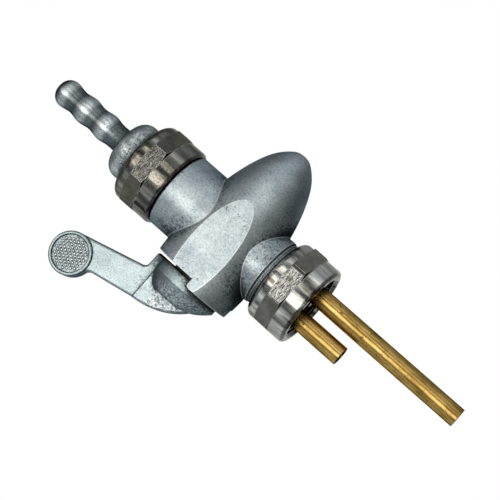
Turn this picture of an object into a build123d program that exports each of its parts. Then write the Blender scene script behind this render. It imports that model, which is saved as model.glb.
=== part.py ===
"""Motorcycle fuel tap: an egg-shaped zinc body with a cork plug and a flat lever.

All sizes are in millimetres. +Z runs up the fuel line to the tank, +Y runs to the nose of
the egg, and the lever is on the -Y side. The origin is the middle of the face that seals
on the tank, so the whole tap hangs from it as it does when it is fitted.
"""

import os
from math import asin, cos, pi, radians, sin

from build123d import *

os.makedirs("parts", exist_ok=True)

# Egg-shaped body, turned about the plug's axis
egg_half_length = 31.9
egg_radius = 11.95
egg_middle_y = -5.5
egg_end_y = -15.7
egg_steps = 8
end_rim_round = 0.3
spanner_flats = 21.25

# Lever stop: a step on the egg's end, and the dog of the lever that runs beside it
stop_height = 2.4
stop_sector = 81.0
stop_margin = 0.5
lever_travel = 180.0
stop_corner = 0.7

# Necks of the body
outlet_neck_radius = 10.2
outlet_neck_length = 18.2
inlet_neck_radius = 9.1
inlet_neck_length = 12.9
inlet_bead_radius = 8.85
inlet_bead_length = 0.8
neck_groove_depth = 0.35
neck_groove_width = 0.35
outlet_neck_corner = 0.5
inlet_neck_corner = 0.25
outlet_neck_fillet = 0.4

# Plug and its bore
plug_radius = 6.0
plug_running_clearance = 0.06
cork_half_length = 7.0
cork_wall = 2.5
pressed_clearance = 0.02
core_bore_radius = 1.5
port_radius = 1.7
clamp_washer_thickness = 0.8
clamp_washer_margin = 0.4
spring_washer_thickness = 0.4
spring_washer_dish = 0.5
spring_washer_margin = 1.2
clamp_screw_head_margin = 1.0
clamp_screw_head_height = 1.5
clamp_screw_engagement = 1.4
plug_end_clearance = 0.7
plug_tail_radius = 4.4
plug_tail_length = 3.2

# Screw that keeps the plug in the body, on the side away from the flat that is seen
keeper_y = -10.4
keeper_thread_radius = 1.9
keeper_tip_radius = 1.1
keeper_tip_length = 1.5
keeper_head_radius = 2.9
keeper_head_height = 2.0
keeper_washer_thickness = 0.8
keeper_washer_margin = 0.3
keeper_groove_clearance = 0.25
keeper_groove_depth = 1.6
slot_width = 0.9
slot_depth = 0.9

# Two standpipes and the flanged carrier that holds them
pipe_radius = 2.5
pipe_wall = 0.5
pipe_spacing = 7.3
pipes_middle_y = -0.35
main_pipe_height = 49.45
reserve_pipe_height = 19.55
carrier_spigot_radius = 7.0
carrier_spigot_length = 4.6
carrier_flange_radius = 8.35
carrier_flange_thickness = 1.5

# Sealing washers of the two unions
seal_thickness = 1.2
seal_radius = 8.3
tank_seal_hole_margin = 0.4

# Octagonal union nut, the same at both ends
nut_length = 11.8
nut_across_flats = 22.0
nut_sides = 8
nut_collar_radius = 11.0
nut_small_collar_length = 3.1
nut_octagon_length = 4.3
nut_small_collar_round = 1.9
nut_large_collar_round = 1.1
nut_corner_chamfer = 0.45
nut_thread_radius = 8.6
nut_mouth_radius = 9.3
nut_lip_thickness = 2.0
nut_lip_hole_radius = 7.95
outlet_nut_turn = -1.0
tank_nut_turn = -3.0
thread_clearance = 0.05
nut_float = 0.15
nut_neck_gap = 0.2

# Hose nipple with three rounded rings
nipple_neck_radius = 7.85
nipple_flange_thickness = 1.5
nipple_neck_length = 2.8
nipple_shoulder_round = 3.2
nipple_root_length = 3.15
nipple_bore_radius = 1.9
nipple_ring_radius = 3.7
nipple_valley_radius = 3.25
nipple_ring_pitch = 6.7
nipple_ring_count = 3
nipple_ring_steps = 4
nipple_tip_radius = 2.2
nipple_tip_length = 2.55
nipple_tip_round = 2.92
nipple_funnel_radius = 4.6
nipple_funnel_depth = 2.6

# Strainer in the outlet chamber
chamber_radius = 5.2
chamber_floor_wall = 3.6
strainer_rim_radius = 7.2
strainer_rim_thickness = 0.5
strainer_collar_radius = 4.5
strainer_collar_length = 2.5
strainer_wall = 0.3
strainer_length = 11.0

# Lever, a flat blade in the plane of the plug's axis with a domed hub
hub_radius = 8.9
hub_shift = 0.3
hub_gap = 0.2
hub_side = 1.3
hub_waist_radius = 7.95
hub_waist_shift = 0.9
hub_waist_height = 2.8
hub_height = 5.6
hub_crown_radius = 4.3
hub_crown_shift = 2.2
hub_round = 1.1
dog_gap = 0.9
arm_thickness = 3.2
root_thickness = 4.4
arm_width = 7.15
arm_lean = 14.6
arm_back_lean = 11.3
pad_distance = 27.75
pad_drop = 13.1
pad_radius = 5.65
pad_thickness = 4.0
pad_face_radius = 4.85
pad_face_depth = 0.35
pad_round = 0.4
pad_fillet = 2.4
ear_reach = 11.15
ear_corner = 0.7
ear_fillet = 1.4
root_crease = 8.7
root_heel = 4.4
root_heel_drop = 4.3
root_belly_radius = 18.5
blade_round = 0.65

# Places that follow from the sizes above
flange_top_z = -seal_thickness
flange_base_z = flange_top_z - carrier_flange_thickness
tank_nut_z = flange_base_z - nut_float - nut_lip_thickness
inlet_end_z = tank_nut_z - nut_neck_gap
plug_z = inlet_end_z - inlet_bead_length - neck_groove_width - inlet_neck_length
plug_axis = Axis((0, 0, plug_z), (0, -1, 0))
stop_face_y = egg_end_y + stop_height
main_y = pipes_middle_y + pipe_spacing / 2
reserve_y = pipes_middle_y - pipe_spacing / 2
bore_radius = plug_radius + plug_running_clearance
cork_inner_radius = plug_radius - cork_wall
clamp_washer_radius = plug_radius - clamp_washer_margin
spring_washer_radius = clamp_washer_radius - spring_washer_margin
clamp_screw_head_radius = spring_washer_radius - clamp_screw_head_margin
tank_seal_hole_radius = pipe_radius - reserve_y + tank_seal_hole_margin
cork_end_y = cork_half_length
outer_washer_y = cork_end_y + clamp_washer_thickness
clamp_head_y = outer_washer_y + spring_washer_thickness + spring_washer_dish
bore_end_y = clamp_head_y + clamp_screw_head_height + plug_end_clearance
collar_y = -cork_half_length - clamp_washer_thickness
hub_face_y = egg_end_y - hub_gap
dog_face_y = stop_face_y - dog_gap
dog_sector = 360.0 - stop_sector - lever_travel
hub_top_y = hub_face_y - hub_height

outlet_shoulder_z = plug_z - outlet_neck_length
outlet_nut_z = outlet_shoulder_z - nut_neck_gap - nut_length
chamber_top_z = plug_z - bore_radius - chamber_floor_wall
nipple_flange_z = outlet_nut_z + nut_lip_thickness
nipple_top_z = nipple_flange_z + nipple_flange_thickness
spigot_end_z = nipple_top_z + seal_thickness + strainer_rim_thickness
nipple_shoulder_z = outlet_nut_z - nipple_neck_length
nipple_root_z = nipple_shoulder_z - nipple_shoulder_round
barb_z = nipple_root_z - nipple_root_length
first_ring_z = barb_z - nipple_ring_pitch / 2
last_ring_z = first_ring_z - (nipple_ring_count - 1) * nipple_ring_pitch
nipple_end_z = last_ring_z - nipple_tip_length
carrier_base_z = inlet_end_z - carrier_spigot_length
spigot_radius = nut_thread_radius - thread_clearance

# The plug's own plane looks out of the egg's end, with its x to the hose and its angles
# counted the way the lever turns
plug_plane = Plane(origin=(0, 0, plug_z), x_dir=(0, 0, -1), z_dir=(0, -1, 0))

# The egg's outline is an ellipse, from its cut end to the nose
end_angle = asin((egg_end_y - egg_middle_y) / egg_half_length)
egg_angles = [end_angle + (pi / 2 - end_angle) * step / egg_steps for step in range(egg_steps + 1)]
egg_outline = [
    (egg_radius * cos(angle), egg_middle_y + egg_half_length * sin(angle)) for angle in egg_angles
]
egg_end_tangent = (-egg_radius * sin(end_angle), egg_half_length * cos(end_angle))

# Body: egg, spanner flats and both necks, then the stop, the bore and the passages
with BuildPart() as tap_body:
    with BuildSketch(Plane.XY.offset(plug_z)):
        with BuildLine():
            egg_side = Spline(*egg_outline, tangents=(egg_end_tangent, (-1, 0)))
            Polyline(egg_side @ 1, (0, egg_end_y), egg_side @ 0)
        make_face()
    revolve(axis=plug_axis)
    with Locations((0, egg_middle_y, plug_z)):
        Box(spanner_flats, 2 * egg_half_length, 2 * egg_radius, mode=Mode.INTERSECT)
    with BuildSketch(Plane.XY.offset(plug_z)):
        Circle(outlet_neck_radius)
    extrude(amount=-outlet_neck_length)
    with BuildSketch(Plane.XY.offset(plug_z)):
        Circle(inlet_neck_radius)
    extrude(amount=inlet_neck_length)
    fillet(tap_body.edges().filter_by(GeomType.CIRCLE).sort_by(Axis.Z)[-1], inlet_neck_corner)
    fillet(tap_body.edges().filter_by(GeomType.CIRCLE).sort_by(Axis.Z)[0], outlet_neck_corner)
    outlet_joint = tap_body.edges().filter_by(GeomType.BSPLINE).group_by(Axis.Z)[0]
    fillet(outlet_joint, outlet_neck_fillet)
    with BuildSketch(Plane.XY.offset(inlet_end_z)):
        Circle(inlet_bead_radius)
    extrude(amount=-inlet_bead_length)
    with BuildSketch(Plane.XY.offset(plug_z + inlet_neck_length)):
        Circle(inlet_bead_radius - neck_groove_depth)
    extrude(amount=neck_groove_width)
    with BuildSketch(Plane.XY.offset(outlet_shoulder_z)):
        Circle(spigot_radius)
    extrude(amount=spigot_end_z - outlet_shoulder_z)
    with BuildSketch(plug_plane.offset(-stop_face_y)):
        with BuildLine():
            recess_rim = CenterArc((0, 0), 2 * egg_radius, -dog_sector, 360.0 - stop_sector)
            Line(recess_rim @ 1, (0, 0))
            Line((0, 0), recess_rim @ 0)
        make_face()
    extrude(amount=2 * stop_height, mode=Mode.SUBTRACT)
    recess_edges = tap_body.faces().filter_by(GeomType.PLANE).sort_by(Axis.Y)[1].edges()
    fillet(recess_edges.sort_by(SortBy.LENGTH)[-1], stop_corner)
    end_edges = tap_body.faces().filter_by(GeomType.PLANE).sort_by(Axis.Y)[0].edges()
    end_rim = end_edges.filter_by(GeomType.LINE, reverse=True).sort_by(SortBy.LENGTH)[-1]
    fillet(end_rim, end_rim_round)
    with BuildSketch(plug_plane.offset(-bore_end_y)):
        Circle(bore_radius)
    extrude(amount=egg_half_length * 2, mode=Mode.SUBTRACT)
    with BuildSketch(Plane.XY.offset(inlet_end_z)):
        Circle(carrier_spigot_radius)
    extrude(amount=-carrier_spigot_length, mode=Mode.SUBTRACT)
    with BuildSketch(Plane.XY.offset(spigot_end_z)):
        Circle(chamber_radius)
    extrude(amount=chamber_top_z - spigot_end_z, mode=Mode.SUBTRACT)
    with BuildSketch(Plane.XY.offset(carrier_base_z)):
        with Locations((0, main_y), (0, reserve_y)):
            Circle(pipe_radius - pipe_wall)
    extrude(amount=chamber_top_z - carrier_base_z, mode=Mode.SUBTRACT)
    with BuildSketch(Plane.YZ):
        with Locations((keeper_y, plug_z)):
            Circle(keeper_thread_radius)
    extrude(amount=spanner_flats, mode=Mode.SUBTRACT)
tap_body.part.label = "tap_body"
export_step(tap_body.part, "parts/tap_body.step")

# Brass plug spindle: collar in the mouth of the bore, thinner core under the cork, and a
# Z-shaped passage from the main station's port to the reserve station's port
with BuildPart() as plug_spindle:
    with BuildSketch(plug_plane.offset(-collar_y)):
        Circle(plug_radius)
    extrude(amount=collar_y - hub_face_y)
    with BuildSketch(plug_plane.offset(-hub_face_y)):
        Circle(plug_tail_radius)
    extrude(amount=plug_tail_length)
    with BuildSketch(plug_plane.offset(-cork_end_y)):
        Circle(cork_inner_radius)
    extrude(amount=cork_end_y - collar_y)
    with BuildSketch(plug_plane.offset(-cork_end_y)):
        Circle(core_bore_radius)
    extrude(amount=cork_end_y - reserve_y + port_radius, mode=Mode.SUBTRACT)
    with BuildSketch(Plane.XY.offset(plug_z)):
        with Locations((0, main_y)):
            Circle(port_radius)
    extrude(amount=plug_radius, mode=Mode.SUBTRACT)
    with BuildSketch(Plane.XY.offset(plug_z)):
        with Locations((0, reserve_y)):
            Circle(port_radius)
    extrude(amount=-plug_radius, mode=Mode.SUBTRACT)
    groove_half = keeper_tip_radius + keeper_groove_clearance
    with BuildSketch(plug_plane.offset(-keeper_y - groove_half)):
        Circle(plug_radius)
        Circle(plug_radius - keeper_groove_depth, mode=Mode.SUBTRACT)
    extrude(amount=2 * groove_half, mode=Mode.SUBTRACT)
plug_spindle.part.label = "plug_spindle"
export_step(plug_spindle.part, "parts/plug_spindle.step")

# Cork sleeve, with one port to each side
with BuildPart() as cork_sleeve:
    with BuildSketch(plug_plane.offset(-cork_end_y)):
        Circle(plug_radius)
        Circle(cork_inner_radius + pressed_clearance, mode=Mode.SUBTRACT)
    extrude(amount=2 * cork_half_length)
    with BuildSketch(Plane.XY.offset(plug_z)):
        with Locations((0, main_y)):
            Circle(port_radius)
    extrude(amount=2 * plug_radius, mode=Mode.SUBTRACT)
    with BuildSketch(Plane.XY.offset(plug_z)):
        with Locations((0, reserve_y)):
            Circle(port_radius)
    extrude(amount=-2 * plug_radius, mode=Mode.SUBTRACT)
cork_sleeve.part.label = "cork_sleeve"
export_step(cork_sleeve.part, "parts/cork_sleeve.step")

# Washer between the collar and the cork
with BuildPart() as inner_cork_washer:
    with BuildSketch(plug_plane.offset(cork_half_length)):
        Circle(clamp_washer_radius)
        Circle(cork_inner_radius + pressed_clearance, mode=Mode.SUBTRACT)
    extrude(amount=clamp_washer_thickness)
inner_cork_washer.part.label = "inner_cork_washer"
export_step(inner_cork_washer.part, "parts/inner_cork_washer.step")

# Washer on the free end of the cork
with BuildPart() as outer_cork_washer:
    with BuildSketch(plug_plane.offset(-outer_washer_y)):
        Circle(clamp_washer_radius)
        Circle(core_bore_radius + pressed_clearance, mode=Mode.SUBTRACT)
    extrude(amount=clamp_washer_thickness)
outer_cork_washer.part.label = "outer_cork_washer"
export_step(outer_cork_washer.part, "parts/outer_cork_washer.step")

# Dished spring washer that keeps the cork squeezed as it wears
with BuildPart() as cork_spring_washer:
    with BuildSketch(Plane.XY.offset(plug_z)):
        with BuildLine():
            Polyline(
                (spring_washer_radius, outer_washer_y),
                (spring_washer_radius, outer_washer_y + spring_washer_thickness),
                (core_bore_radius + pressed_clearance, clamp_head_y),
                (core_bore_radius + pressed_clearance, clamp_head_y - spring_washer_thickness),
                close=True,
            )
        make_face()
    revolve(axis=plug_axis)
cork_spring_washer.part.label = "cork_spring_washer"
export_step(cork_spring_washer.part, "parts/cork_spring_washer.step")

# Slotted screw that clamps the cork and closes the end of the passage
with BuildPart() as cork_clamp_screw:
    with BuildSketch(plug_plane.offset(-clamp_head_y - clamp_screw_head_height)):
        Circle(clamp_screw_head_radius)
    extrude(amount=clamp_screw_head_height)
    with BuildSketch(plug_plane.offset(-clamp_head_y)):
        Circle(core_bore_radius - pressed_clearance)
    extrude(amount=clamp_head_y - cork_end_y + clamp_screw_engagement)
    with BuildSketch(plug_plane.offset(-clamp_head_y - clamp_screw_head_height)):
        Rectangle(2 * clamp_screw_head_radius, slot_width)
    extrude(amount=slot_depth, mode=Mode.SUBTRACT)
cork_clamp_screw.part.label = "cork_clamp_screw"
export_step(cork_clamp_screw.part, "parts/cork_clamp_screw.step")

# Lever, die-cast in one piece with its domed hub and the dog that meets the body's stop.
# Its blade lies in the plane of the plug's axis and its outline is drawn as (y, z).
pad_y = hub_face_y - pad_drop
pad_z = plug_z - pad_distance
arm_front = (pad_radius, radians(arm_lean))
arm_back = (pad_radius - arm_width, radians(arm_back_lean))


def arm_edge(edge, z):
    """Point at height z on an edge of the arm, given by its offset from the pad and its lean."""
    offset, lean = edge
    return (pad_y + (offset + (z - pad_z) * sin(lean)) / cos(lean), z)


def arm_end(edge):
    """Point where an edge of the arm passes beside the pad's middle, square to it."""
    offset, lean = edge
    return (pad_y + offset * cos(lean), pad_z - offset * sin(lean))


crease_z = plug_z - root_crease
ear_z = plug_z - ear_reach
ear_root = arm_edge(arm_front, ear_z)
crease_back = arm_edge(arm_back, crease_z)
heel = (hub_face_y - root_heel_drop, plug_z + root_heel)
hub_side_y = hub_face_y - hub_side

# Blade of the lever: pad, arm and the ear that stands up to the dog
with BuildPart() as blade:
    with BuildSketch(Plane.YZ.offset(-arm_thickness / 2)) as blade_face:
        with BuildLine():
            Polyline(
                (dog_face_y, plug_z),
                (dog_face_y, ear_z),
                ear_root,
                arm_end(arm_front),
                arm_end(arm_back),
                crease_back,
                (hub_side_y, plug_z),
                close=True,
            )
        make_face()
        with Locations((pad_y, pad_z)):
            Circle(pad_radius)
        fillet(blade_face.vertices().sort_by(Axis.X)[0], pad_fillet)
        fillet(blade_face.vertices().sort_by_distance((*ear_root, 0))[0], ear_fillet)
        fillet(blade_face.vertices().sort_by_distance((dog_face_y, ear_z, 0))[0], ear_corner)
    extrude(amount=arm_thickness)
    fillet(blade.faces().sort_by(Axis.X)[0].outer_wire().edges(), blade_round)
    fillet(blade.faces().sort_by(Axis.X)[-1].outer_wire().edges(), blade_round)

# Thicker root of the blade, from the crease to the heel under the hub
with BuildPart() as root:
    with BuildSketch(Plane.YZ.offset(-root_thickness / 2)):
        with BuildLine():
            RadiusArc(crease_back, heel, root_belly_radius)
            Polyline(heel, (hub_side_y, plug_z), (hub_side_y, crease_z), crease_back)
        make_face()
    extrude(amount=root_thickness)
    fillet(root.edges().filter_by(GeomType.CIRCLE), blade_round)

# Pad with a raised rim round its sunk faces
with BuildPart() as pad:
    with BuildSketch(Plane.YZ.offset(-pad_thickness / 2)):
        with Locations((pad_y, pad_z)):
            Circle(pad_radius)
    extrude(amount=pad_thickness)
    fillet(pad.edges().filter_by(GeomType.CIRCLE), pad_round)
    for side in (-1, 1):
        with BuildSketch(Plane.YZ.offset(side * pad_thickness / 2)):
            with Locations((pad_y, pad_z)):
                Circle(pad_face_radius)
        extrude(amount=-side * pad_face_depth, mode=Mode.SUBTRACT)

with BuildPart() as lever:
    with BuildSketch(plug_plane.offset(-hub_side_y)):
        with Locations((hub_shift, 0)):
            Circle(hub_radius)
    with BuildSketch(plug_plane.offset(hub_waist_height - hub_face_y)):
        with Locations((hub_waist_shift, 0)):
            Circle(hub_waist_radius)
    with BuildSketch(plug_plane.offset(-hub_top_y)):
        with Locations((hub_crown_shift, 0)):
            Circle(hub_crown_radius)
    loft()
    with BuildSketch(plug_plane.offset(-dog_face_y)):
        with Locations((hub_shift, 0)):
            Circle(hub_radius)
    extrude(amount=dog_face_y - hub_side_y)
    fillet(lever.edges().group_by(Axis.Y)[0], hub_round)
    add(blade.part)
    add(root.part)
    with BuildSketch(Plane.YZ.offset(-pad_thickness)):
        with Locations((pad_y, pad_z)):
            Circle(pad_face_radius)
    extrude(amount=2 * pad_thickness, mode=Mode.SUBTRACT)
    add(pad.part)
    with BuildSketch(plug_plane.offset(-hub_face_y)):
        with BuildLine():
            relief_rim = CenterArc((0, 0), 2 * hub_radius, 0, 360.0 - dog_sector + stop_margin)
            Line(relief_rim @ 1, (0, 0))
            Line((0, 0), relief_rim @ 0)
        make_face()
        Circle(plug_radius + plug_running_clearance)
    extrude(amount=-2 * stop_height, mode=Mode.SUBTRACT)
    with BuildSketch(plug_plane.offset(-hub_face_y)):
        Circle(plug_tail_radius + pressed_clearance)
    extrude(amount=plug_tail_length, mode=Mode.SUBTRACT)
lever.part.label = "lever"
export_step(lever.part, "parts/lever.step")

# Brass carrier: spigot pressed into the body, neck through the nut, flange under the seal
with BuildPart() as pipe_carrier:
    with BuildSketch(Plane.XY.offset(carrier_base_z)):
        Circle(carrier_spigot_radius)
    extrude(amount=carrier_spigot_length)
    with BuildSketch(Plane.XY.offset(inlet_end_z)):
        Circle(nut_lip_hole_radius - nut_float)
    extrude(amount=flange_base_z - inlet_end_z)
    with BuildSketch(Plane.XY.offset(flange_base_z)):
        Circle(carrier_flange_radius)
    extrude(amount=carrier_flange_thickness)
    with BuildSketch(Plane.XY.offset(carrier_base_z)):
        with Locations((0, main_y), (0, reserve_y)):
            Circle(pipe_radius + pressed_clearance)
    extrude(amount=flange_top_z - carrier_base_z, mode=Mode.SUBTRACT)
pipe_carrier.part.label = "pipe_carrier"
export_step(pipe_carrier.part, "parts/pipe_carrier.step")

# Long standpipe, which feeds the tap until the tank is down to its reserve
with BuildPart() as main_standpipe:
    with BuildSketch(Plane.XY.offset(carrier_base_z)):
        with Locations((0, main_y)):
            Circle(pipe_radius)
            Circle(pipe_radius - pipe_wall, mode=Mode.SUBTRACT)
    extrude(amount=main_pipe_height - carrier_base_z)
main_standpipe.part.label = "main_standpipe"
export_step(main_standpipe.part, "parts/main_standpipe.step")

# Short standpipe, which draws the reserve
with BuildPart() as reserve_standpipe:
    with BuildSketch(Plane.XY.offset(carrier_base_z)):
        with Locations((0, reserve_y)):
            Circle(pipe_radius)
            Circle(pipe_radius - pipe_wall, mode=Mode.SUBTRACT)
    extrude(amount=reserve_pipe_height - carrier_base_z)
reserve_standpipe.part.label = "reserve_standpipe"
export_step(reserve_standpipe.part, "parts/reserve_standpipe.step")

# Red fibre washer between the carrier's flange and the tank
with BuildPart() as tank_seal_washer:
    with BuildSketch(Plane.XY.offset(flange_top_z)):
        Circle(seal_radius)
        Circle(tank_seal_hole_radius, mode=Mode.SUBTRACT)
    extrude(amount=seal_thickness)
tank_seal_washer.part.label = "tank_seal_washer"
export_step(tank_seal_washer.part, "parts/tank_seal_washer.step")

# Outlet union nut: octagon between two rounded collars, threaded mouth up, lip below
nut_octagon_z = outlet_nut_z + nut_small_collar_length
nut_corner_radius = nut_across_flats / 2 / cos(pi / nut_sides)
with BuildPart() as outlet_union_nut:
    with BuildSketch(Plane.XY.offset(nut_octagon_z)):
        RegularPolygon(
            nut_across_flats / 2,
            nut_sides,
            major_radius=False,
            rotation=180.0 / nut_sides + outlet_nut_turn,
        )
    extrude(amount=nut_octagon_length)
    with BuildSketch(Plane.XZ):
        with BuildLine():
            Polyline(
                (0, nut_octagon_z),
                (nut_collar_radius, nut_octagon_z),
                (nut_corner_radius, nut_octagon_z + nut_corner_chamfer),
                (nut_corner_radius, nut_octagon_z + nut_octagon_length - nut_corner_chamfer),
                (nut_collar_radius, nut_octagon_z + nut_octagon_length),
                (0, nut_octagon_z + nut_octagon_length),
                close=True,
            )
        make_face()
    revolve(axis=Axis.Z, mode=Mode.INTERSECT)
    with BuildSketch(Plane.XY.offset(outlet_nut_z)):
        Circle(nut_collar_radius)
    extrude(amount=nut_length)
    nut_rims = outlet_union_nut.edges().filter_by(GeomType.CIRCLE).sort_by(Axis.Z)
    fillet(nut_rims[0], nut_small_collar_round)
    nut_rims = outlet_union_nut.edges().filter_by(GeomType.CIRCLE).sort_by(Axis.Z)
    fillet(nut_rims[-1], nut_large_collar_round)
    with BuildSketch(Plane.XY.offset(outlet_nut_z)):
        Circle(nut_lip_hole_radius)
    extrude(amount=nut_lip_thickness, mode=Mode.SUBTRACT)
    with BuildSketch(Plane.XY.offset(outlet_nut_z + nut_lip_thickness)):
        Circle(nut_thread_radius)
    extrude(amount=nut_length, mode=Mode.SUBTRACT)
    mouth = outlet_union_nut.edges().filter_by(GeomType.CIRCLE).group_by(Axis.Z)[-1]
    chamfer(mouth.sort_by(SortBy.RADIUS)[0], nut_mouth_radius - nut_thread_radius)
outlet_union_nut.part.label = "outlet_union_nut"
export_step(outlet_union_nut.part, "parts/outlet_union_nut.step")

# Tank union nut: the same nut, held loose behind the carrier's flange
with BuildPart() as tank_union_nut:
    with Locations(Location((0, 0, tank_nut_z - outlet_nut_z), (0, 0, tank_nut_turn - outlet_nut_turn))):
        add(outlet_union_nut.part)
tank_union_nut.part.label = "tank_union_nut"
export_step(tank_union_nut.part, "parts/tank_union_nut.step")

# The rings are a smooth wave, from the root's end to the crest of the last ring
ring_swell = (nipple_ring_radius - nipple_valley_radius) / 2
ring_turns = [
    turn / nipple_ring_steps - 0.5 for turn in range(nipple_ring_steps * nipple_ring_count - 1)
]
ring_outline = [
    (
        nipple_valley_radius + ring_swell * (1 + cos(2 * pi * turn)),
        first_ring_z - nipple_ring_pitch * turn,
    )
    for turn in ring_turns
]

# Hose nipple: flange under the seal, neck through the nut, three rounded rings for the hose
with BuildPart() as hose_nipple:
    with BuildSketch(Plane.XZ):
        with BuildLine():
            funnel_z = nipple_top_z - nipple_funnel_depth
            shoulder_radius = nipple_neck_radius - nipple_shoulder_round
            Polyline(
                (nipple_bore_radius, nipple_end_z),
                (nipple_bore_radius, funnel_z),
                (nipple_funnel_radius, nipple_top_z),
                (carrier_flange_radius, nipple_top_z),
                (carrier_flange_radius, nipple_flange_z),
                (nipple_neck_radius, nipple_flange_z),
                (nipple_neck_radius, nipple_shoulder_z),
            )
            RadiusArc(
                (nipple_neck_radius, nipple_shoulder_z),
                (shoulder_radius, nipple_root_z),
                nipple_shoulder_round,
            )
            Polyline(
                (shoulder_radius, nipple_root_z),
                (nipple_valley_radius, nipple_root_z),
                (nipple_valley_radius, barb_z),
            )
            Spline(*ring_outline, tangents=((0, -1), (0, -1)))
            RadiusArc(
                (nipple_ring_radius, last_ring_z),
                (nipple_tip_radius, nipple_end_z),
                nipple_tip_round,
            )
            Line((nipple_tip_radius, nipple_end_z), (nipple_bore_radius, nipple_end_z))
        make_face()
    revolve(axis=Axis.Z)
hose_nipple.part.label = "hose_nipple"
export_step(hose_nipple.part, "parts/hose_nipple.step")

# Fibre washer between the nipple and the body's spigot
with BuildPart() as outlet_seal_washer:
    with BuildSketch(Plane.XY.offset(nipple_top_z)):
        Circle(seal_radius)
        Circle(chamber_radius, mode=Mode.SUBTRACT)
    extrude(amount=seal_thickness)
outlet_seal_washer.part.label = "outlet_seal_washer"
export_step(outlet_seal_washer.part, "parts/outlet_seal_washer.step")

# Brass frame of the strainer: a rim trapped on the seal and a short collar
strainer_z = nipple_top_z + seal_thickness
with BuildPart() as strainer_frame:
    with BuildSketch(Plane.XY.offset(strainer_z)):
        Circle(strainer_rim_radius)
    extrude(amount=strainer_rim_thickness)
    with BuildSketch(Plane.XY.offset(strainer_z)):
        Circle(strainer_collar_radius)
    extrude(amount=strainer_collar_length)
    with BuildSketch(Plane.XY.offset(strainer_z)):
        Circle(strainer_collar_radius - strainer_wall)
    extrude(amount=strainer_collar_length, mode=Mode.SUBTRACT)
strainer_frame.part.label = "strainer_frame"
export_step(strainer_frame.part, "parts/strainer_frame.step")

# Gauze thimble pressed into the frame's collar
gauze_radius = strainer_collar_radius - strainer_wall - pressed_clearance
with BuildPart() as strainer_gauze:
    with BuildSketch(Plane.XY.offset(strainer_z)):
        Circle(gauze_radius)
    extrude(amount=strainer_length)
    with BuildSketch(Plane.XY.offset(strainer_z)):
        Circle(gauze_radius - strainer_wall)
    extrude(amount=strainer_length - strainer_wall, mode=Mode.SUBTRACT)
strainer_gauze.part.label = "strainer_gauze"
export_step(strainer_gauze.part, "parts/strainer_gauze.step")

# Keeper screw: its tip runs in the plug's groove, so the plug turns but can't come out
keeper_seat_x = spanner_flats / 2
keeper_plane = Plane(origin=(0, keeper_y, plug_z), x_dir=(0, 1, 0), z_dir=(1, 0, 0))
keeper_head_x = keeper_seat_x + keeper_washer_thickness
keeper_tip_x = plug_radius - keeper_tip_length + plug_running_clearance
with BuildPart() as keeper_screw:
    with BuildSketch(keeper_plane.offset(keeper_head_x)):
        Circle(keeper_head_radius)
    extrude(amount=keeper_head_height)
    with BuildSketch(keeper_plane.offset(keeper_head_x)):
        Circle(keeper_thread_radius - thread_clearance)
    extrude(amount=keeper_tip_x + keeper_tip_length - keeper_head_x)
    with BuildSketch(keeper_plane.offset(keeper_tip_x)):
        Circle(keeper_tip_radius)
    extrude(amount=keeper_tip_length)
    with BuildSketch(keeper_plane.offset(keeper_head_x + keeper_head_height)):
        Rectangle(slot_width, 2 * keeper_head_radius)
    extrude(amount=-slot_depth, mode=Mode.SUBTRACT)
keeper_screw.part.label = "keeper_screw"
export_step(keeper_screw.part, "parts/keeper_screw.step")

# Fibre washer that seals the keeper screw on the body's flat
with BuildPart() as keeper_washer:
    with BuildSketch(keeper_plane.offset(keeper_seat_x)):
        Circle(keeper_head_radius + keeper_washer_margin)
        Circle(keeper_thread_radius, mode=Mode.SUBTRACT)
    extrude(amount=keeper_washer_thickness)
keeper_washer.part.label = "keeper_washer"
export_step(keeper_washer.part, "parts/keeper_washer.step")
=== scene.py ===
"""Motorcycle fuel tap on white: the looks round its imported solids.

Lengths are in metres in the solids' own frame: +Z up the standpipes, +Y to the nose of the
egg-shaped body, the lever on the -Y side. mm() turns millimetres into metres.
"""

from math import cos, pi, radians, sin, tan

import bpy
from mathutils import Matrix, Vector


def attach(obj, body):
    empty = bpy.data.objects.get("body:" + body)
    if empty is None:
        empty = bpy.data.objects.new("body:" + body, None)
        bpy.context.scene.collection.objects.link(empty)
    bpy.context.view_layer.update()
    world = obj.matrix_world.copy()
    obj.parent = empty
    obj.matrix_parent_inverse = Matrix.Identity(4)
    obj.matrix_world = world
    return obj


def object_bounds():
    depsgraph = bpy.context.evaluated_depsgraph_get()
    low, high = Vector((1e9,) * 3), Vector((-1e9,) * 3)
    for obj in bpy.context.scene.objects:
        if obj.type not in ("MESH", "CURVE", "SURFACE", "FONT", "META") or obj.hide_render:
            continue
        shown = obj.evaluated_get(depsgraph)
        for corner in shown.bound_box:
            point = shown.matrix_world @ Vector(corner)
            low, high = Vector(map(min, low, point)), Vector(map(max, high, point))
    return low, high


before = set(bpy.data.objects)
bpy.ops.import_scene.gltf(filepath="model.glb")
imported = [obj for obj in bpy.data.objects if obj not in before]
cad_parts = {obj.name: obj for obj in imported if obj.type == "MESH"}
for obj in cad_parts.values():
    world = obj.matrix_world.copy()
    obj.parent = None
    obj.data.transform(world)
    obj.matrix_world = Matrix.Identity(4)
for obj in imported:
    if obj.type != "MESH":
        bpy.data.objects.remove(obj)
cad_low, cad_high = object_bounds()


# The photograph's view. The tap was shot from a little above its side, lying across the
# frame, so the camera looks along +X and is rolled round its own line of sight.
def mm(length):
    """Metres from millimetres."""
    return length * 0.001


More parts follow.
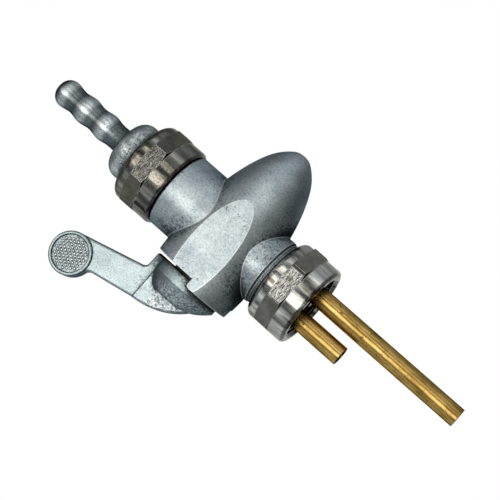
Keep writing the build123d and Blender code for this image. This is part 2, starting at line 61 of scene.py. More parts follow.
view_tilt = radians(12.6)
view_roll = radians(41.4)
view_distance = mm(345)
view_target = Vector((0, mm(0.72), mm(-13.9)))
view_lens = 103.0
looking = Vector((cos(view_tilt), 0, -sin(view_tilt)))
along = Vector((sin(view_tilt), 0, cos(view_tilt)))
across = Vector((0, 1, 0))
right = cos(view_roll) * along + sin(view_roll) * across
up = cos(view_roll) * across - sin(view_roll) * along
camera = bpy.data.objects.new("camera", bpy.data.cameras.new("camera"))
camera.data.lens = view_lens
camera.data.sensor_width = 36
camera.data.clip_start = 0.01
camera.data.clip_end = 20
camera.matrix_world = Matrix.Translation(view_target - view_distance * looking) @ Matrix(
    (right, up, -looking)
).transposed().to_4x4()
bpy.context.scene.collection.objects.link(camera)
bpy.context.scene.camera = camera
bpy.context.scene.view_settings.view_transform = "Standard"


# White studio paper. World and floor show as plain white to the camera and in the metal,
# and light the matt parts at a plain level.
def linear(code):
    """Linear colour of an sRGB hex value."""
    levels = [int(code[i : i + 2], 16) / 255 for i in (1, 3, 5)]
    return (
        *[v / 12.92 if v <= 0.04045 else ((v + 0.055) / 1.055) ** 2.4 for v in levels],
        1.0,
    )


def add_node(tree, kind, links=None, stops=None, **settings):
    """Adds a node with its settings; links gives its sockets values, nodes or outputs."""
    node = tree.nodes.new(kind)
    for name, value in settings.items():
        setattr(node, name, value)
    for key, value in (links or {}).items():
        if isinstance(key, str):
            socket = next(s for s in node.inputs if s.enabled and s.name == key)
        else:
            socket = node.inputs[key]
        if isinstance(value, bpy.types.Node):
            value = next(s for s in value.outputs if s.enabled)
        if isinstance(value, bpy.types.NodeSocket):
            tree.links.new(value, socket)
        else:
            socket.default_value = value
    for place, (position, shade) in enumerate(stops or ()):
        ramp = node.color_ramp.elements
        element = ramp[place] if place < 2 else ramp.new(position)
        element.position = position
        element.color = linear(shade) if isinstance(shade, str) else (shade, shade, shade, 1.0)
    return node


def new_tree(owner):
    """The emptied node tree of a material or world."""
    owner.use_nodes = True
    owner.node_tree.nodes.clear()
    return owner.node_tree


def add_mesh(name, corners, faces, material):
    """Links a mesh object of these corners and faces, with its finish."""
    mesh = bpy.data.meshes.new(name)
    mesh.from_pydata(corners, [], faces)
    mesh.materials.append(material)
    thing = bpy.data.objects.new(name, mesh)
    bpy.context.scene.collection.objects.link(thing)
    return thing


def seen_by(tree, *kinds):
    """A value that is 1 for rays of these kinds and 0 for others."""
    paths = add_node(tree, "ShaderNodeLightPath").outputs
    seen = 0.0
    for kind in kinds:
        seen = add_node(tree, "ShaderNodeMath", {0: paths[kind], 1: seen}, operation="MAXIMUM")
    return seen


matt_level = 0.6
world = bpy.data.worlds.new("white_studio")
bpy.context.scene.world = world
tree = new_tree(world)
seen = seen_by(tree, "Is Camera Ray", "Is Glossy Ray", "Is Transmission Ray")
level = add_node(tree, "ShaderNodeMapRange", {"Value": seen, "To Min": matt_level, "To Max": 1.0})
sky = add_node(tree, "ShaderNodeBackground", {"Color": linear("#ffffff"), "Strength": level})
add_node(tree, "ShaderNodeOutputWorld", {"Surface": sky})

paper = bpy.data.materials.new("white_paper")
tree = new_tree(paper)
seen = seen_by(tree, "Is Camera Ray", "Is Glossy Ray")
matt = add_node(tree, "ShaderNodeBsdfDiffuse", {"Color": linear("#f4f4f2")})
white = add_node(tree, "ShaderNodeEmission", {"Color": linear("#ffffff"), "Strength": 1.0})
mixed = add_node(tree, "ShaderNodeMixShader", {0: seen, 1: matt, 2: white})
add_node(tree, "ShaderNodeOutputMaterial", {"Surface": mixed})
floor_drop = mm(500)
floor_half = 0.8
floor_z = cad_low.z - floor_drop
rim = [(x * floor_half, y * floor_half, floor_z) for x, y in ((-1, -1), (1, -1), (1, 1), (-1, 1))]
add_mesh("paper_floor", rim, [(0, 1, 2, 3)], paper)

# A light tent round the tap, as bare metal is lit: a soft bright panel beside the camera,
# weaker strips further round and dark felt between them. Only reflections see it. Its glow is
# given at angles round Z, from -X towards -Y, and at heights over its radius.
tent_radius = 0.42
tent_sides = 48
tent_strength = 3.7
round_glow = [
    (-180, 0.4), (-150, 0.26), (-125, 0.14), (-75, 0.15), (-61, 0.38), (-52, 0.38),
    (-46, 0.18), (-35, 0.12), (-31, 0.6), (-21, 0.6), (-14, 0.06), (-6, 0.06),
    (3, 0.8), (9, 1.0), (22, 1.0), (29, 0.25), (44, 0.05), (55, 0.28),
    (66, 0.28), (75, 0.15), (86, 0.15), (95, 0.3), (104, 0.24), (125, 0.24),
    (150, 0.26), (180, 0.4),
]
height_glow = [(-1.0, 0.35), (-0.7, 0.7), (-0.42, 1.0), (0.04, 1.0), (0.4, 0.42), (1.0, 0.18)]
felt = bpy.data.materials.new("light_tent")
tree = new_tree(felt)
place = add_node(tree, "ShaderNodeTexCoord").outputs["Object"]
flipped = add_node(tree, "ShaderNodeMapping", {"Vector": place, "Scale": (-1, -1, 1)})
turn = add_node(tree, "ShaderNodeTexGradient", {"Vector": flipped}, gradient_type="RADIAL")
sides = add_node(
    tree, "ShaderNodeValToRGB", {0: turn}, [(0.5 + a / 360, glow) for a, glow in round_glow]
)
height = add_node(tree, "ShaderNodeSeparateXYZ", {0: place}).outputs["Z"]
height = add_node(
    tree, "ShaderNodeMapRange", {"Value": height, "From Min": -tent_radius, "From Max": tent_radius}
)
bands = add_node(
    tree, "ShaderNodeValToRGB", {0: height}, [(0.5 + h / 2, glow) for h, glow in height_glow]
)
glow = add_node(tree, "ShaderNodeMath", {0: sides, 1: bands}, operation="MULTIPLY")
glow = add_node(tree, "ShaderNodeMath", {0: glow, 1: tent_strength}, operation="MULTIPLY")
tint = add_node(tree, "ShaderNodeValToRGB", {0: sides}, [(0.15, "#eaf1f6"), (0.7, "#fffbf6")])
shine = add_node(tree, "ShaderNodeEmission", {"Color": tint, "Strength": glow})
add_node(tree, "ShaderNodeOutputMaterial", {"Surface": shine})
corners = [
    (tent_radius * cos(2 * pi * k / tent_sides), tent_radius * sin(2 * pi * k / tent_sides), z)
    for z in (-tent_radius, tent_radius)
    for k in range(tent_sides)
]
faces = [
    (k, (k + 1) % tent_sides, tent_sides + (k + 1) % tent_sides, tent_sides + k)
    for k in range(tent_sides)
]
faces += [tuple(range(tent_sides)), tuple(range(tent_sides, 2 * tent_sides))]
tent = add_mesh("light_tent", corners, faces, felt)
tent.visible_camera = False
tent.visible_diffuse = False
tent.visible_transmission = False
tent.visible_shadow = False

# Two large soft lamps for the matt parts: one over the camera, a weaker one behind
lamp_size = 0.4
for name, place, power in (
    ("front_lamp", (-0.5, 0.1, 0.35), 2.0),
    ("back_lamp", (0.5, -0.2, 0.3), 1.4),
):
    lamp = bpy.data.objects.new(name, bpy.data.lights.new(name, "AREA"))
    lamp.data.shape = "DISK"
    lamp.data.size = lamp_size
    lamp.data.energy = power
    lamp.location = place
    lamp.rotation_euler = (view_target - Vector(place)).to_track_quat("-Z", "Y").to_euler()
    lamp.visible_glossy = False
    bpy.context.scene.collection.objects.link(lamp)


# Body: an egg of die-cast zinc with its two necks, cast in one piece, tumbled and left bare.
# Age has spotted it with dark pits, thickest in its corners. Painted shade darkens its corners
# further, and its pale edge colour is wear that is partly a painted highlight.
def dress(material, *names):
    """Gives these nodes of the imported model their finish."""
    for name in names:
        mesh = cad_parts[name].data
        mesh.materials.clear()
        mesh.materials.append(material)


def cast_zinc(name, pale, dull, smooth, coarse, spotting, painted_corner_shade, rim):
    """Bare die-cast zinc: satin blue-grey metal, speckled black by age, thickest in corners.

    It is clouded from dull to pale, smooth where clean and coarse on the specks. More spotting
    gives more specks, the corner colour is painted shade where faces close in, and rim is the
    colour of the edges: wear that is partly painted light, a highlight if pale, an outline if dark.
    """
    cloud_size, drift_size, speck_size, grain_size = mm(6), mm(10), mm(0.65), mm(0.4)
    corner_reach, edge_round = mm(8), mm(0.35)
    grain_depth, pit_depth = mm(0.04), mm(0.05)
    material = bpy.data.materials.new(name)
    tree = new_tree(material)
    place = add_node(tree, "ShaderNodeTexCoord").outputs["Object"]
    clouds = add_node(
        tree,
        "ShaderNodeTexNoise",
        {"Vector": place, "Scale": 1 / cloud_size, "Detail": 6.0, "Roughness": 0.6},
    )
    tone = add_node(tree, "ShaderNodeValToRGB", {0: clouds}, [(0.34, dull), (0.66, pale)])
    grain = add_node(
        tree,
        "ShaderNodeTexNoise",
        {"Vector": place, "Scale": 1 / grain_size, "Detail": 2.0, "Roughness": 0.6},
    )
    # The grain of the tumbled skin, drawn coarser than a real one so that it shows
    salt = add_node(tree, "ShaderNodeValToRGB", {0: grain}, [(0.36, "#c9d0d3"), (0.58, "#ffffff")])
    grained = add_node(
        tree,
        "ShaderNodeMix",
        {"Factor": 0.8, "A": tone, "B": salt},
        data_type="RGBA",
        blend_type="MULTIPLY",
    )
    # Black specks lie thick in the corners and in drifts, and thin elsewhere
    corner = add_node(
        tree, "ShaderNodeAmbientOcclusion", {"Distance": corner_reach}, samples=8
    ).outputs["AO"]
    drifts = add_node(
        tree, "ShaderNodeTexNoise", {"Vector": place, "Scale": 1 / drift_size, "Detail": 3.0}
    )
    in_corner = add_node(
        tree,
        "ShaderNodeMapRange",
        {"Value": corner, "From Min": 0.97, "From Max": 0.6, "To Max": 0.6},
    )
    in_drift = add_node(
        tree,
        "ShaderNodeMapRange",
        {"Value": drifts, "From Min": 0.42, "From Max": 0.66, "To Max": 0.12},
    )
    specks = add_node(
        tree,
        "ShaderNodeTexNoise",
        {"Vector": place, "Scale": 1 / speck_size, "Detail": 3.0, "Roughness": 0.75},
    )
    amount = add_node(tree, "ShaderNodeMath", {0: in_corner, 1: in_drift}, operation="ADD")
    amount = add_node(tree, "ShaderNodeMath", {0: specks, 1: amount}, operation="ADD")
    mask = add_node(
        tree,
        "ShaderNodeMapRange",
        {
            "Value": amount,
            "From Min": 0.70 - spotting,
            "From Max": 0.79 - spotting,
            "To Max": 0.85,
        },
    )
    spotted = add_node(
        tree,
        "ShaderNodeMix",
        {"Factor": mask, "A": grained, "B": linear("#2d373c")},
        data_type="RGBA",
    )
    # Edges take the rim colour: wear that is partly painted light, a painted highlight where the
    # rim is pale and a painted dark outline where it is dark
    soft_edge = add_node(tree, "ShaderNodeBevel", {"Radius": edge_round}, samples=6)
    facing = add_node(tree, "ShaderNodeNewGeometry").outputs["Normal"]
    bend = add_node(
        tree, "ShaderNodeVectorMath", {0: soft_edge, 1: facing}, operation="DOT_PRODUCT"
    ).outputs["Value"]
    edge = add_node(
        tree,
        "ShaderNodeMapRange",
        {"Value": bend, "From Min": 0.9985, "From Max": 0.99, "To Max": 0.75},
    )
    edged = add_node(
        tree,
        "ShaderNodeMix",
        {"Factor": edge, "A": spotted, "B": linear(rim)},
        data_type="RGBA",
    )
    # Painted shade: the colour darkens in corners and creases by ambient occlusion
    occlusion_shade = add_node(tree, "ShaderNodeValToRGB", {0: corner}, [(0.25, painted_corner_shade), (0.82, "#ffffff")])
    occlusion_shaded = add_node(
        tree,
        "ShaderNodeMix",
        {"Factor": 1.0, "A": edged, "B": occlusion_shade},
        data_type="RGBA",
        blend_type="MULTIPLY",
    )
    rough = add_node(
        tree, "ShaderNodeMapRange", {"Value": mask, "To Min": smooth, "To Max": coarse}
    )
    skin = add_node(
        tree,
        "ShaderNodeBump",
        {"Height": grain, "Strength": 0.6, "Distance": grain_depth, "Normal": soft_edge},
    )
    pits = add_node(
        tree,
        "ShaderNodeBump",
        {"Height": mask, "Strength": 0.5, "Distance": pit_depth, "Normal": skin},
        invert=True,
    )
    shader = add_node(
        tree,
        "ShaderNodeBsdfPrincipled",
        {
            "Base Color": occlusion_shaded,
            "Metallic": 1.0,
            "Roughness": rough,
            "Specular Tint": linear("#616b6e"),
            "Normal": pits,
        },
    )
    add_node(tree, "ShaderNodeOutputMaterial", {"Surface": shader})
    return material


body_zinc = cast_zinc(
    "die_cast_zinc",
    pale="#c0c9cc",
    dull="#9fa9ae",
    smooth=0.42,
    coarse=0.6,
    spotting=0.012,
    painted_corner_shade="#5a6468",
    rim="#eef2f3",
)
dress(body_zinc, "tap_body")


# Lever: die-cast zinc in one piece with its hub, polished by fingers along the blade. Its
# hub sits on the plug's end and turns against the body. Both faces of its pad are knurled.
def overlay(material, factor, colour):
    """Lays a colour over a finish by a factor, and returns the finish's shader."""
    tree = material.node_tree
    shader = next(n for n in tree.nodes if n.type == "BSDF_PRINCIPLED")
    base = shader.inputs["Base Color"]
    mixed = add_node(
        tree,
        "ShaderNodeMix",
        {"Factor": factor, "A": base.links[0].from_socket, "B": colour},
        data_type="RGBA",
    )
    tree.links.new(next(s for s in mixed.outputs if s.enabled), base)
    return shader


# Its dark rim colour paints a dark outline along the lever's edges
lever_zinc = cast_zinc(
    "lever_zinc",
    pale="#aab6b9",
    dull="#96a2a5",
    smooth=0.36,
    coarse=0.5,
    spotting=-0.11,
    painted_corner_shade="#566165",
    rim="#3d474b",
)
dress(lever_zinc, "lever")

# The hub's dome kept its speckled rough skin from the mould, outside a slanting line in Y
# and above a height in Z, both with ragged edges
cast_from_y = mm(-14.9)
cast_slope = 0.14
cast_from_z = mm(-24.6)
cast_ragged = mm(1.2)
cast_fade = mm(0.8)
ragged_size = mm(2)
pit_size = mm(0.5)
pit_depth = mm(0.08)
tree = lever_zinc.node_tree
place = add_node(tree, "ShaderNodeTexCoord").outputs["Object"]
ragged = add_node(
    tree, "ShaderNodeTexNoise", {"Vector": place, "Scale": 1 / ragged_size, "Detail": 4.0}
)
coords = add_node(tree, "ShaderNodeSeparateXYZ", {0: place}).outputs
outward = add_node(
    tree,
    "ShaderNodeMath",
    {0: coords["Z"], 1: -cast_slope, 2: coords["Y"]},
    operation="MULTIPLY_ADD",
)
skin = 1.0
for way, bare, covered in (
    (outward, cast_from_y, cast_from_y - cast_fade),
    (coords["Z"], cast_from_z, cast_from_z + cast_fade),
):
    wavering = add_node(
        tree, "ShaderNodeMath", {0: ragged, 1: cast_ragged, 2: way}, operation="MULTIPLY_ADD"
    )
    within = add_node(
        tree,
        "ShaderNodeMapRange",
        {
            "Value": wavering,
            "From Min": bare + cast_ragged / 2,
            "From Max": covered + cast_ragged / 2,
        },
    )
    skin = add_node(tree, "ShaderNodeMath", {0: within, 1: skin}, operation="MULTIPLY")
pitted = add_node(
    tree,
    "ShaderNodeTexNoise",
    {"Vector": place, "Scale": 1 / pit_size, "Detail": 3.0, "Roughness": 0.7},
)
shade = add_node(tree, "ShaderNodeValToRGB", {0: pitted}, [(0.4, "#5d676b"), (0.62, "#ccd5d7")])
shader = overlay(lever_zinc, skin, shade)
rough_skin = add_node(
    tree,
    "ShaderNodeBump",
    {
        "Height": pitted,
        "Strength": skin,
        "Distance": pit_depth,
        "Normal": shader.inputs["Normal"].links[0].from_socket,
    },
)
tree.links.new(rough_skin.outputs["Normal"], shader.inputs["Normal"])

# Raised points on both faces of the pad, in rows, which thumb and finger rub bright. Their pale
# rim colour paints highlights on their edges.
knurled_zinc = cast_zinc(
    "knurled_lever_zinc",
    pale="#c0cbcd",
    dull="#b0bbbd",
    smooth=0.32,
    coarse=0.5,
    spotting=-0.05,
    painted_corner_shade="#5a6569",
    rim="#dfe6e8",
)
pad_y = mm(-29.0)
pad_z = mm(-46.85)
pad_face_x = mm(1.65)
knurl_radius = mm(4.75)
knurl_pitch = mm(0.8)
knurl_row_pitch = mm(0.92)
knurl_half_length = mm(0.39)
knurl_half_width = mm(0.37)
knurl_height = mm(0.2)
knurl_sink = mm(0.06)
knurl_turn = radians(122)
knurl_top = 0.52
knurl_rows = 6
rows = range(-knurl_rows, knurl_rows + 1)
for side in (-1, 1):
    corners, faces = [], []
    for row in rows:
        for step in rows:
            s = (step + (0.5 if row % 2 else 0)) * knurl_pitch
            t = row * knurl_row_pitch
            if (s * s + t * t) ** 0.5 > knurl_radius - knurl_half_length:
                continue
            base = len(corners)
            for depth, share in ((-knurl_sink, 1.0), (knurl_height, knurl_top)):
                for a, b in ((-1, -1), (1, -1), (1, 1), (-1, 1)):
                    p = s + a * share * knurl_half_length
                    q = t + b * share * knurl_half_width
                    corners.append(
                        (
                            side * (pad_face_x + depth),
                            pad_y + p * cos(knurl_turn) - q * sin(knurl_turn),
                            pad_z + p * sin(knurl_turn) + q * cos(knurl_turn),
                        )
                    )
            ring = [(k, (k + 1) % 4, 4 + (k + 1) % 4, 4 + k) for k in range(4)]
            ring += [(3, 2, 1, 0), (4, 5, 6, 7)]
            for face in ring:
                order = face if side > 0 else face[::-1]
                faces.append([base + k for k in order])
    knurl = add_mesh("pad_knurl_" + ("near" if side < 0 else "far"), corners, faces, knurled_zinc)
    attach(knurl, "lever_and_plug")


# Union nuts: turned from bar and nickel-plated. The plate is worn: spanner jaws scraped two
# flats, corners are worn bright with a painted highlight on them, the collars keep the streaks
# of the tool and some brown spots. Painted shade darkens where two faces meet.
def nickel_plate(name, blank, pale, dull, stains, painted_corner_shade, flats_low, flats_high):
    """Worn nickel plate on a turned nut that has its flats between two heights.

    Streaks and gripped flats shine blank, the other flats are clouded from dull to pale. More
    stains give more brown spots beside the gripped flats, and the corner colour is painted shade
    where faces meet. Edges are worn bright, partly a painted highlight.
    """
    cloud_size, streak_size, speck_size, scrape_size = mm(3), mm(1.8), mm(0.6), mm(0.8)
    corner_reach, edge_round = mm(3), mm(0.15)
    relief_depth, grit_depth = mm(0.2), mm(0.05)
    flat_half_angle = radians(22.5)
    material = bpy.data.materials.new(name)
    tree = new_tree(material)
    place = add_node(tree, "ShaderNodeTexCoord").outputs["Object"]
    parts = add_node(tree, "ShaderNodeSeparateXYZ", {0: place}).outputs
    middle = (flats_low + flats_high) / 2
    half = (flats_high - flats_low) / 2
    away = add_node(tree, "ShaderNodeMath", {0: parts["Z"], 1: -middle}, operation="ADD")
    away = add_node(tree, "ShaderNodeMath", {0: away}, operation="ABSOLUTE")
    on_flats = add_node(
        tree,
        "ShaderNodeMapRange",
        {"Value": away, "From Min": half + mm(0.3), "From Max": half - mm(0.1)},
    )
    # The jaws gripped the two flats that are square to X
    reach = add_node(tree, "ShaderNodeMath", {0: parts["X"]}, operation="ABSOLUTE")
    reach = add_node(
        tree, "ShaderNodeMath", {0: reach, 1: tan(flat_half_angle)}, operation="MULTIPLY"
    )
    width = add_node(tree, "ShaderNodeMath", {0: parts["Y"]}, operation="ABSOLUTE")
    inside = add_node(tree, "ShaderNodeMath", {0: reach, 1: width}, operation="SUBTRACT")
    gripped = add_node(
        tree,
        "ShaderNodeMapRange",
        {"Value": inside, "From Min": mm(-0.1), "From Max": mm(0.15)},
    )
    gripped = add_node(tree, "ShaderNodeMath", {0: gripped, 1: on_flats}, operation="MULTIPLY")
    clouds = add_node(
        tree,
        "ShaderNodeTexNoise",
        {"Vector": place, "Scale": 1 / cloud_size, "Detail": 5.0, "Roughness": 0.65},
    )
    even = add_node(tree, "ShaderNodeValToRGB", {0: clouds}, [(0.35, dull), (0.65, pale)])
    # The tool left streaks along the collars, some of them blank and some dull
    drawn = add_node(tree, "ShaderNodeMapping", {"Vector": place, "Scale": (1, 1, 0.15)})
    streaks = add_node(
        tree,
        "ShaderNodeTexNoise",
        {"Vector": drawn, "Scale": 1 / streak_size, "Detail": 3.0, "Roughness": 0.55},
    )
    streaky = add_node(
        tree, "ShaderNodeValToRGB", {0: streaks}, [(0.35, "#524f48"), (0.63, blank)]
    )
    tone = add_node(
        tree,
        "ShaderNodeMix",
        {"Factor": on_flats, "A": streaky, "B": even},
        data_type="RGBA",
    )
    # Brown spots where the plate is gone, thickest beside the gripped flats
    specks = add_node(
        tree,
        "ShaderNodeTexNoise",
        {"Vector": place, "Scale": 1 / speck_size, "Detail": 3.0, "Roughness": 0.7},
    )
    beside = add_node(
        tree,
        "ShaderNodeMapRange",
        {"Value": inside, "From Min": mm(-1.5), "From Max": mm(1.5), "To Max": stains},
    )
    amount = add_node(tree, "ShaderNodeMath", {0: specks, 1: beside}, operation="ADD")
    bare = add_node(
        tree,
        "ShaderNodeMapRange",
        {"Value": amount, "From Min": 0.66, "From Max": 0.73, "To Max": 0.8},
    )
    spotted = add_node(
        tree,
        "ShaderNodeMix",
        {"Factor": bare, "A": tone, "B": linear("#54492f")},
        data_type="RGBA",
    )
    # Scrapes run round the nut
    stretched = add_node(tree, "ShaderNodeMapping", {"Vector": place, "Scale": (1, 0.6, 2.2)})
    scrapes = add_node(
        tree,
        "ShaderNodeTexNoise",
        {"Vector": stretched, "Scale": 1 / scrape_size, "Detail": 4.0, "Roughness": 0.75},
    )
    scraped = add_node(
        tree,
        "ShaderNodeMix",
        {"Factor": gripped, "A": spotted, "B": linear(blank)},
        data_type="RGBA",
    )
    furrow = add_node(
        tree,
        "ShaderNodeMapRange",
        {"Value": scrapes, "From Min": 0.53, "From Max": 0.45, "To Max": 0.8},
    )
    furrow = add_node(tree, "ShaderNodeMath", {0: furrow, 1: gripped}, operation="MULTIPLY")
    furrowed = add_node(
        tree,
        "ShaderNodeMix",
        {"Factor": furrow, "A": scraped, "B": linear("#31302d")},
        data_type="RGBA",
    )
    # Corners worn bright, partly a painted highlight, and painted shade where two faces meet
    soft_edge = add_node(tree, "ShaderNodeBevel", {"Radius": edge_round}, samples=6)
    facing = add_node(tree, "ShaderNodeNewGeometry").outputs["Normal"]
    bend = add_node(
        tree, "ShaderNodeVectorMath", {0: soft_edge, 1: facing}, operation="DOT_PRODUCT"
    ).outputs["Value"]
    edge = add_node(
        tree,
        "ShaderNodeMapRange",
        {"Value": bend, "From Min": 0.998, "From Max": 0.95, "To Max": 0.85},
    )
    edged = add_node(
        tree,
        "ShaderNodeMix",
        {"Factor": edge, "A": furrowed, "B": linear("#eeede8")},
        data_type="RGBA",
    )
    corner = add_node(
        tree, "ShaderNodeAmbientOcclusion", {"Distance": corner_reach}, samples=16
    ).outputs["AO"]
    occlusion_shade = add_node(tree, "ShaderNodeValToRGB", {0: corner}, [(0.3, painted_corner_shade), (0.7, "#ffffff")])
    occlusion_shaded = add_node(
        tree,
        "ShaderNodeMix",
        {"Factor": 1.0, "A": edged, "B": occlusion_shade},
        data_type="RGBA",
        blend_type="MULTIPLY",
    )
    # The streaks are faintly wavy, the gripped flats are rough
    relief = add_node(tree, "ShaderNodeMix", {"Factor": gripped, "A": streaks, "B": scrapes})
    depth = add_node(
        tree, "ShaderNodeMapRange", {"Value": on_flats, "To Min": 0.22, "To Max": 0.1}
    )
    depth = add_node(tree, "ShaderNodeMix", {"Factor": gripped, "A": depth, "B": 0.95})
    skin = add_node(
        tree,
        "ShaderNodeBump",
        {"Height": relief, "Strength": depth, "Distance": relief_depth, "Normal": soft_edge},
    )
    grit = add_node(
        tree,
        "ShaderNodeBump",
        {"Height": specks, "Strength": 0.15, "Distance": grit_depth, "Normal": skin},
    )
    shader = add_node(
        tree,
        "ShaderNodeBsdfPrincipled",
        {
            "Base Color": occlusion_shaded,
            "Metallic": 1.0,
            "Roughness": 0.12,
            "Specular Tint": linear("#c9c8c4"),
            "Normal": grit,
        },
    )
    add_node(tree, "ShaderNodeOutputMaterial", {"Surface": shader})
    return material


# Tank nut: brass bar, turned with eight flats and nickel-plated. It turns freely behind the
# carrier's flange, and its thread pulls the tap up to the tank.
tank_nut_nickel = nickel_plate(
    "tank_nut_nickel",
    blank="#c6c5c0",
    pale="#8b8880",
    dull="#6c6962",
    stains=0.05,
    painted_corner_shade="#1c1a17",
    flats_low=mm(-1.75),
    flats_high=mm(2.55),
)
dress(tank_nut_nickel, "tank_union_nut")

# Its thread, which the solids leave out, shows in the mouth where it screws to the tank
thread_root = mm(8.62)
thread_crest = mm(8.3)
thread_pitch = mm(1)
thread_low = mm(0.55)
thread_turns = 5
thread_steps = 48
root_half = 0.45 * thread_pitch
crest_half = 0.06 * thread_pitch
profile = [
    (thread_root, -root_half),
    (thread_crest, -crest_half),
    (thread_crest, crest_half),
    (thread_root, root_half),
]
corners, faces = [], []
for step in range(thread_turns * thread_steps + 1):
    turn = 2 * pi * step / thread_steps
    rise = thread_low + thread_pitch * step / thread_steps
    for reach, offset in profile:
        corners.append((reach * cos(turn), reach * sin(turn), rise + offset))
    if step:
        old, new = 4 * step - 4, 4 * step
        faces += [(old + k, old + (k + 1) % 4, new + (k + 1) % 4, new + k) for k in range(4)]
last = len(corners)
faces += [(0, 3, 2, 1), (last - 4, last - 3, last - 2, last - 1)]
thread = add_mesh("tank_nut_thread", corners, faces, tank_nut_nickel)
for face in thread.data.polygons:
    face.use_smooth = True
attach(thread, "tank_nut")

# Outlet nut: the same plated brass nut at the hose end, darker and browner with age. It
# clamps the hose nipple to the body.
outlet_nut_nickel = nickel_plate(
    "outlet_nut_nickel",
    blank="#84837d",
    pale="#716e65",
    dull="#57544c",
    stains=0.14,
    painted_corner_shade="#1c1a17",
    flats_low=mm(-46.2),
    flats_high=mm(-41.9),
)
dress(outlet_nut_nickel, "outlet_union_nut")

# Plug: turned brass, plated. Only its collar shows, in the gap between body and hub. It has
# no flats, so theirs are given at a height where it has no metal.
plug_nickel = nickel_plate(
    "plug_nickel",
    blank="#a3a39f",
    pale="#b5b4ae",
    dull="#8d8b84",
    stains=0.0,
    painted_corner_shade="#6d6d68",
    flats_low=mm(100),
    flats_high=mm(101),
)
dress(plug_nickel, "plug_spindle")

# Hose nipple: die-cast zinc, clamped by the outlet nut. Its ring crests keep the pale finish;
# the valleys between them are darkened with painted shade, and its dark rim colour paints a
# dark outline on its edges.
nipple_zinc = cast_zinc(
    "nipple_zinc",
    pale="#e0e5e5",
    dull="#989fa1",
    smooth=0.3,
    coarse=0.5,
    spotting=0.01,
    painted_corner_shade="#3a4348",
    rim="#879298",
)
unshaded_radius = mm(3.64)
shaded_radius = mm(3.38)
tree = nipple_zinc.node_tree
place = add_node(tree, "ShaderNodeTexCoord").outputs["Object"]
spoke = add_node(tree, "ShaderNodeMapping", {"Vector": place, "Scale": (1, 1, 0)})
reach = add_node(tree, "ShaderNodeVectorMath", {0: spoke}, operation="LENGTH").outputs["Value"]
# Painted shade in the valleys: the colour darkens below a radius round the nipple's axis
stain_and_shade = add_node(
    tree,
    "ShaderNodeMapRange",
    {"Value": reach, "From Min": unshaded_radius, "From Max": shaded_radius, "To Max": 0.85},
)
overlay(nipple_zinc, stain_and_shade, linear("#4b5457"))
dress(nipple_zinc, "hose_nipple")


# Standpipes: drawn brass tube, a long one for the main fuel and a short one for the reserve,
# both pressed into the carrier. They are golden where wiped, and tarnished elsewhere in
# streaks and spots.
def old_brass(name, pale, dull, stain, stretch, smooth):
    """Tarnished brass with stains, streaked along Z by a stretch below 1, else round it."""
    streak_size, spot_size, streak_depth = mm(1.6), mm(1.1), mm(0.05)
    material = bpy.data.materials.new(name)
    tree = new_tree(material)
    place = add_node(tree, "ShaderNodeTexCoord").outputs["Object"]
    drawn = add_node(tree, "ShaderNodeMapping", {"Vector": place, "Scale": (1, 1, stretch)})
    streaks = add_node(
        tree,
        "ShaderNodeTexNoise",
        {"Vector": drawn, "Scale": 1 / streak_size, "Detail": 6.0, "Roughness": 0.65},
    )
    tone = add_node(tree, "ShaderNodeValToRGB", {0: streaks}, [(0.3, dull), (0.7, pale)])
    specks = add_node(
        tree,
        "ShaderNodeTexNoise",
        {"Vector": place, "Scale": 1 / spot_size, "Detail": 4.0, "Roughness": 0.7},
    )
    spots = add_node(
        tree,
        "ShaderNodeMapRange",
        {"Value": specks, "From Min": 0.6, "From Max": 0.7, "To Max": 0.85},
    )
    stain_and_shade = add_node(
        tree,
        "ShaderNodeMix",
        {"Factor": spots, "A": tone, "B": linear(stain)},
        data_type="RGBA",
    )
    skin = add_node(
        tree, "ShaderNodeBump", {"Height": streaks, "Strength": 0.06, "Distance": streak_depth}
    )
    rough = add_node(
        tree, "ShaderNodeMapRange", {"Value": spots, "To Min": smooth, "To Max": smooth + 0.2}
    )
    shader = add_node(
        tree,
        "ShaderNodeBsdfPrincipled",
        {
            "Base Color": stain_and_shade,
            "Metallic": 1.0,
            "Roughness": rough,
            "Specular Tint": linear("#4f3f20"),
            "Normal": skin,
        },
    )
    add_node(tree, "ShaderNodeOutputMaterial", {"Surface": shader})
    return material


pipe_brass = old_brass(
    "pipe_brass", pale="#c6a561", dull="#80642e", stain="#33270f", stretch=0.3, smooth=0.26
)
dress(pipe_brass, "main_standpipe", "reserve_standpipe")

# Carrier: turned brass, pressed into the body's neck, with the tool's fine rings round it. It
# holds both pipes, and its flange traps the tank nut.
turned_brass = old_brass(
    "turned_brass", pale="#e2c06f", dull="#c39f55", stain="#7a5f2d", stretch=3.0, smooth=0.25
)
dress(turned_brass, "pipe_carrier")

# Strainer's frame: thin turned brass in the outlet chamber, a rim with a short collar. The
# rim is trapped on the outlet's seal, and the collar holds the gauze.
dress(turned_brass, "strainer_frame")

# Cork's clamp: two turned brass washers on either end of the cork, and the brass screw that
# pulls them together on the plug
dress(turned_brass, "inner_cork_washer", "outer_cork_washer", "cork_clamp_screw")

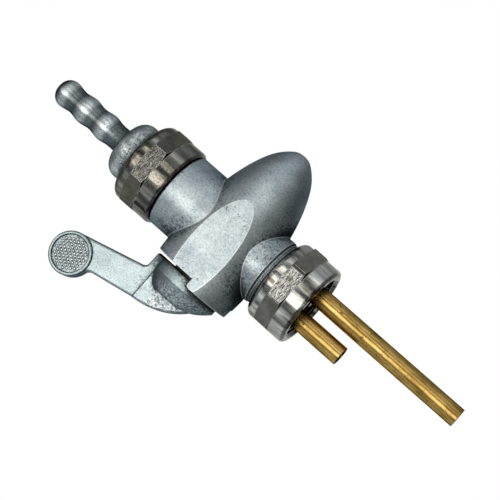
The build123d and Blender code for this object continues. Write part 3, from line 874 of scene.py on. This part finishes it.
# Seals: washers of red vulcanised fibre, dark with fuel. One is squeezed against the tank's
# spigot, one between nipple and body, one under the keeper screw's head.
fibre_size = mm(0.9)
fibre_squash = 6
fibre_depth = mm(0.05)
red_fibre = bpy.data.materials.new("red_fibre")
tree = new_tree(red_fibre)
place = add_node(tree, "ShaderNodeTexCoord").outputs["Object"]
combed = add_node(tree, "ShaderNodeMapping", {"Vector": place, "Scale": (1, 1, fibre_squash)})
fibres = add_node(
    tree,
    "ShaderNodeTexNoise",
    {"Vector": combed, "Scale": 1 / fibre_size, "Detail": 5.0, "Roughness": 0.7},
)
tone = add_node(tree, "ShaderNodeValToRGB", {0: fibres}, [(0.35, "#3a1210"), (0.65, "#6e231c")])
skin = add_node(
    tree, "ShaderNodeBump", {"Height": fibres, "Strength": 0.4, "Distance": fibre_depth}
)
shader = add_node(
    tree, "ShaderNodeBsdfPrincipled", {"Base Color": tone, "Roughness": 0.7, "Normal": skin}
)
add_node(tree, "ShaderNodeOutputMaterial", {"Surface": shader})
dress(red_fibre, "tank_seal_washer", "outlet_seal_washer", "keeper_washer")

# Plug's seal: a sleeve of ground cork in a binder, clamped on the plug and squeezed in its
# bore. Brown grains with dark gaps.
grain_size = mm(0.9)
grain_depth = mm(0.1)
cork = bpy.data.materials.new("ground_cork")
tree = new_tree(cork)
place = add_node(tree, "ShaderNodeTexCoord").outputs["Object"]
grains = add_node(
    tree, "ShaderNodeTexVoronoi", {"Vector": place, "Scale": 1 / grain_size}
).outputs["Distance"]
tone = add_node(tree, "ShaderNodeValToRGB", {0: grains}, [(0.35, "#b07c48"), (0.75, "#5b3a1e")])
skin = add_node(
    tree,
    "ShaderNodeBump",
    {"Height": grains, "Strength": 0.4, "Distance": grain_depth},
    invert=True,
)
shader = add_node(
    tree, "ShaderNodeBsdfPrincipled", {"Base Color": tone, "Roughness": 0.75, "Normal": skin}
)
add_node(tree, "ShaderNodeOutputMaterial", {"Surface": shader})
dress(cork, "cork_sleeve")


# Keeper screw: zinc-plated steel. It is screwed into the body from the far side, and its tip
# runs in the plug's groove.
def plain_steel(name, pale, dull, smooth):
    """Steel with a thin clouded coat."""
    cloud_size, cloud_depth = mm(1.5), mm(0.05)
    material = bpy.data.materials.new(name)
    tree = new_tree(material)
    place = add_node(tree, "ShaderNodeTexCoord").outputs["Object"]
    clouds = add_node(
        tree, "ShaderNodeTexNoise", {"Vector": place, "Scale": 1 / cloud_size, "Detail": 5.0}
    )
    tone = add_node(tree, "ShaderNodeValToRGB", {0: clouds}, [(0.35, dull), (0.65, pale)])
    rough = add_node(
        tree, "ShaderNodeMapRange", {"Value": clouds, "To Min": smooth, "To Max": smooth + 0.15}
    )
    skin = add_node(
        tree, "ShaderNodeBump", {"Height": clouds, "Strength": 0.2, "Distance": cloud_depth}
    )
    shader = add_node(
        tree,
        "ShaderNodeBsdfPrincipled",
        {"Base Color": tone, "Metallic": 1.0, "Roughness": rough, "Normal": skin},
    )
    add_node(tree, "ShaderNodeOutputMaterial", {"Surface": shader})
    return material


plated_steel = plain_steel("plated_steel", pale="#c9c8bd", dull="#9b9a8e", smooth=0.3)
dress(plated_steel, "keeper_screw")

# Cork's spring: a dished washer of blued spring steel, between the outer brass washer and
# the clamp screw's head. It keeps the cork squeezed as it wears.
spring_steel = plain_steel("spring_steel", pale="#7c8088", dull="#4c4f57", smooth=0.25)
dress(spring_steel, "cork_spring_washer")

# Strainer's gauze: a thimble of woven brass wire, pressed into the frame's collar. Two sets
# of waves make the wires, with dark holes between them. They are about 1 mm apart, which is
# coarser than real ones, so that they show.
wave_scale = 0.3 / mm(1)
wire_depth = mm(0.1)
gauze = bpy.data.materials.new("brass_gauze")
tree = new_tree(gauze)
place = add_node(tree, "ShaderNodeTexCoord").outputs["Object"]
wires = [
    add_node(
        tree,
        "ShaderNodeTexWave",
        {"Vector": place, "Scale": wave_scale},
        bands_direction=direction,
    ).outputs["Fac"]
    for direction in ("X", "Z")
]
weave = add_node(tree, "ShaderNodeMath", {0: wires[0], 1: wires[1]}, operation="MAXIMUM")
tone = add_node(tree, "ShaderNodeValToRGB", {0: weave}, [(0.4, "#1d160a"), (0.8, "#c9a765")])
skin = add_node(
    tree, "ShaderNodeBump", {"Height": weave, "Strength": 0.6, "Distance": wire_depth}
)
shader = add_node(
    tree,
    "ShaderNodeBsdfPrincipled",
    {"Base Color": tone, "Metallic": 1.0, "Roughness": 0.4, "Normal": skin},
)
add_node(tree, "ShaderNodeOutputMaterial", {"Surface": shader})
dress(gauze, "strainer_gauze")
